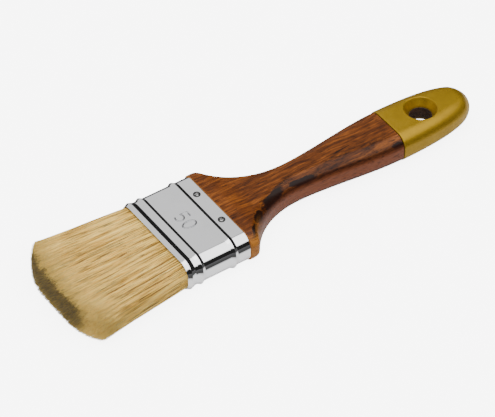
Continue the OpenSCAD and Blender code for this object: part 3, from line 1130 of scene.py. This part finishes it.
def endHairs(s, rng, amount, depth):
    # short hairs that fill the bundle at its trimmed end; their painted end shade is weaker towards the sides
    # and the lower face, and the corner hairs are painted paler as painted light
    middle, half = bundleSides(s, s["tip"])
    thick = bundleThick(s, s["tip"])
    hairs = []
    for _ in range(amount):
        z = (2 * rng.random() - 1) * (thick - 0.15)
        bend = max(0.0, abs(z) - thick + s["corner"])
        inset = s["corner"] - math.sqrt(max(0.0, s["corner"] ** 2 - bend ** 2))
        share = 2 * rng.random() - 1
        y = middle + share * (half - inset - 0.15)
        end = trimmedEnd(s, y, z) + abs(rng.gauss(0, 0.7))
        start = end + depth
        startMiddle, startHalf = bundleSides(s, start)
        root = (startMiddle + share * (startHalf - inset) * 0.93, z * 0.72)
        # the tone weakens the painted end shade at the corners and lower down, and pales the corner hairs:
        # painted light
        corner = 1.1 * smoothStep((-share - 0.5) / 0.4) + 0.7 * smoothStep((share - 0.7) / 0.3)
        tone = 0.40 * rng.random() + corner + 0.35 * max(0.0, -z / thick)
        hairs.append((root, (y, z), start, end, tone, rng.uniform(0.85, 1.2)))
    return hairs


def buildHairTree():
    # one straight hair on each point, then every hair is led from its root to its tip
    tree, given, out = groupTree(
        "bristleHairs", "GeometryNodeTree",
        [("Geometry", "Geometry", None), ("Radius", "Float", 0.0001),
         ("Segments", "Int", 6), ("Sides", "Int", 3),
         ("Tip Share", "Float", 0.4), ("Stray", "Float", 0.0004),
         ("Seed", "Int", 1), ("Material", "Material", None)],
        [("Geometry", "Geometry")])

    def stored(geometry, name, value, kind):
        return addNode(tree, "GeometryNodeStoreNamedAttribute", {
            "Geometry": geometry, "Name": name, "Value": value,
        }, data_type=kind, domain="POINT").outputs[0]

    def randomVector(amount, seed):
        node = addNode(tree, "FunctionNodeRandomValue", {"Seed": seed}, data_type="FLOAT_VECTOR")
        tree.links.new(scaled(tree, amount, -1.0), node.inputs[0])
        tree.links.new(amount, node.inputs[1])
        return node.outputs[0]

    hair = addNode(tree, "GeometryNodeMeshCylinder", {
        "Vertices": given["Sides"], "Side Segments": given["Segments"], "Radius": 1.0, "Depth": 1.0,
    }, fill_type="NGON")
    position = addNode(tree, "GeometryNodeInputPosition").outputs[0]
    x, y, z = (part(tree, position, i) for i in range(3))
    shape = stored(hair.outputs["Mesh"], "along", plus(tree, z, 0.5), "FLOAT")
    shape = stored(shape, "across", combined(tree, 0.0, x, y), "FLOAT_VECTOR")

    spread = combined(tree, 0.0, given["Stray"], times(tree, given["Stray"], 0.35))
    points = stored(given["Geometry"], "hook", randomVector(spread, given["Seed"]), "FLOAT_VECTOR")
    bowSeed = plus(tree, given["Seed"], 11)
    points = stored(points, "bow", randomVector(scaled(tree, spread, 0.4), bowSeed), "FLOAT_VECTOR")
    hairs = addNode(tree, "GeometryNodeInstanceOnPoints", {"Points": points, "Instance": shape})
    plain = realized(tree, hairs.outputs[0])

    along, girth = (namedAttribute(tree, name, "FLOAT") for name in ("along", "girth"))
    root, tip, bow, hook, across = (
        namedAttribute(tree, name, "FLOAT_VECTOR") for name in ("root", "tip", "bow", "hook", "across"))
    line = vectorMaths(tree, "ADD", root, scaled(tree, vectorMaths(tree, "SUBTRACT", tip, root), along))
    swell = times(tree, times(tree, along, 4.0), minus(tree, 1.0, along))
    line = vectorMaths(tree, "ADD", line, scaled(tree, bow, swell))
    line = vectorMaths(tree, "ADD", line, scaled(tree, hook, maths(tree, "POWER", along, 3.0)))
    narrow = minus(tree, 1.0, given["Tip Share"])
    taper = minus(tree, 1.0, times(tree, maths(tree, "POWER", along, 4.0), narrow))
    thick = times(tree, times(tree, given["Radius"], girth), taper)
    place = vectorMaths(tree, "ADD", line, scaled(tree, across, thick))
    moved = addNode(tree, "GeometryNodeSetPosition", {"Geometry": plain, "Position": place})
    smooth = smoothed(tree, moved.outputs[0])
    tree.links.new(paint(tree, smooth, given["Material"]), out["Geometry"])
    return tree


hairTree = buildHairTree()


def growHairs(name, hairs, material, radius, segments, stray, seed):
    points, roots, tips, tones, girths = [], [], [], [], []
    for (rootY, rootZ), (tipY, tipZ), start, end, tone, girth in hairs:
        root = (mouthX + start * mm, rootY * mm, midZ + rootZ * mm)
        points.append(root)
        roots.extend(root)
        tips.extend((mouthX + end * mm, tipY * mm, midZ + tipZ * mm))
        tones.append(tone)
        girths.append(girth)
    base = meshFrom(name, points, [])
    for label, kind, field, values in (
        ("root", "FLOAT_VECTOR", "vector", roots), ("tip", "FLOAT_VECTOR", "vector", tips),
        ("tone", "FLOAT", "value", tones), ("girth", "FLOAT", "value", girths),
    ):
        base.attributes.new(label, kind, "POINT").data.foreach_set(field, values)
    obj = bakeNodes(name, base, hairTree, {
        "Radius": radius * mm, "Segments": segments, "Sides": 3, "Tip Share": 0.35,
        "Stray": stray * mm, "Seed": seed, "Material": material,
    })
    for label in ("tip", "hook", "bow", "across", "girth"):
        obj.data.attributes.remove(obj.data.attributes[label])
    return obj


def bendWithJoint(obj, slotName, *nodes):
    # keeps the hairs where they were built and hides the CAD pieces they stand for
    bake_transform(obj)
    if nodes:
        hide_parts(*nodes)
    print("built", obj.name, len(obj.data.polygons), "faces")


def buildCore(s):
    # closed mass of bristles under the outer hairs, stopping short of the trimmed end
    inset, corner = s["coreInset"], s["corner"] - s["coreInset"]
    start, stop, count = s["rootDepth"] + 1, s["tip"] + s["coreShort"], 24
    rings = []
    for i in range(count + 1):
        x = start + (stop - start) * i / count
        middle, half = bundleSides(s, x)
        half -= inset + edgeDrop(x - stop, 12, 9)
        ring = roundedRing(x, half, bundleThick(s, x) - inset, corner, corner, 8)
        rings.append([(px, py + middle * mm, pz) for px, py, pz in ring])
    core = newObject("bristleCore", loftMesh("bristleCore", rings[::-1]), massFinish)
    smoothShade(core.data, 40)
    bendWithJoint(core, "bristle")


def buildBristles(s):
    rng = random.Random(s["seed"])
    buildCore(s)
    hairs = outerHairs(s, rng, s["outerCount"], s["outerDepth"])
    upper = [hair for hair in hairs if hair[0][1] > 0]
    under = [hair for hair in hairs if hair[0][1] <= 0]
    skin = growHairs("bristlesUpper", upper, hairFinish, radius=0.12, segments=5, stray=0.9, seed=3)
    bendWithJoint(skin, "bristle", "bristle_tuft", "bristle_root")
    skin = growHairs("bristlesUnder", under, hairFinish, radius=0.12, segments=5, stray=0.9, seed=4)
    bendWithJoint(skin, "bristle")
    ends = endHairs(s, rng, s["endCount"], s["endDepth"])
    ends = growHairs("bristleEnds", ends, shadedEndHairFinish, radius=0.125, segments=3, stray=0.5, seed=5)
    bendWithJoint(ends, "bristle")


buildBristles(bristleSizes)


# ---- hidden pieces keep their CAD shapes

for nodeName, finish in (
    ("spacer_plug_left", plugFinish), ("spacer_plug_right", plugFinish), ("resin_setting", resinFinish),
):
    piece = frame["nodes"][nodeName]
    piece.data.materials.clear()
    piece.data.materials.append(finish)


# ---- floor and light

# the floor is pale beside the brush and darker further off, which the bright metal shows
floorLook = {
    "colour": (0.80, 0.80, 0.80),
    "far": (0.02, 0.02, 0.02),
    "pale": 34.0,
    "dark": 42.0,
    "glow": 6.0,
    "size": 3.0,
}


def buildStage(s):
    e = s["size"]
    corners = [(-e, -e, 0), (e, -e, 0), (e, e, 0), (-e, e, 0)]
    floor = newObject("floor", meshFrom("floor", corners, [(0, 1, 2, 3)]))
    material, tree, shader, coords = newMaterial("paleFloor", Roughness=0.9)
    across = maths(tree, "ABSOLUTE", part(tree, coords, 1))
    away = between(tree, across, s["pale"] * mm, s["dark"] * mm)
    shader.inputs["Emission Color"].default_value = (1, 1, 1, 1)
    seen = addNode(tree, "ShaderNodeLightPath").outputs["Is Camera Ray"]
    mirrored = mixColour(tree, away, s["colour"], s["far"])
    colour = mixColour(tree, seen, mirrored, s["colour"])
    drive(tree, shader, Base_Color=colour, Emission_Strength=times(tree, seen, s["glow"]))
    floor.data.materials.append(material)


# each soft light fills the room's directions around its axis: (cosine from the axis, brightness)
roomLight = {
    "overhead": {"axis": (0.0, -0.30, 1.0), "edge": [(0.66, 0.0), (0.76, 3.2)]},
    "backLeft": {"axis": (-0.45, 0.75, 0.50), "edge": [(0.50, 0.0), (0.58, 0.98)]},
    "shadow": 0.02,
}


def buildLights(s):
    # two wide soft lights in a dark room
    world = bpy.data.worlds.new("studio")
    world.use_nodes = True
    tree = world.node_tree
    direction = addNode(tree, "ShaderNodeTexCoord").outputs["Generated"]
    total = s["shadow"]
    for lamp in (s["overhead"], s["backLeft"]):
        axis = tuple(Vector(lamp["axis"]).normalized())
        facing = addNode(
            tree, "ShaderNodeVectorMath", {0: direction, 1: axis}, operation="DOT_PRODUCT").outputs["Value"]
        (low, dark), (high, bright) = lamp["edge"]
        glow = addNode(tree, "ShaderNodeMapRange", {
            "Value": facing, "From Min": low, "From Max": high, "To Min": dark, "To Max": bright,
        }, interpolation_type="SMOOTHSTEP")
        total = plus(tree, glow.outputs[0], total)
    tree.links.new(total, tree.nodes["Background"].inputs["Strength"])
    tree.nodes["Background"].inputs["Color"].default_value = (1, 1, 1, 1)
    scene.world = world


buildStage(floorLook)
buildLights(roomLight)
print("scene ready")
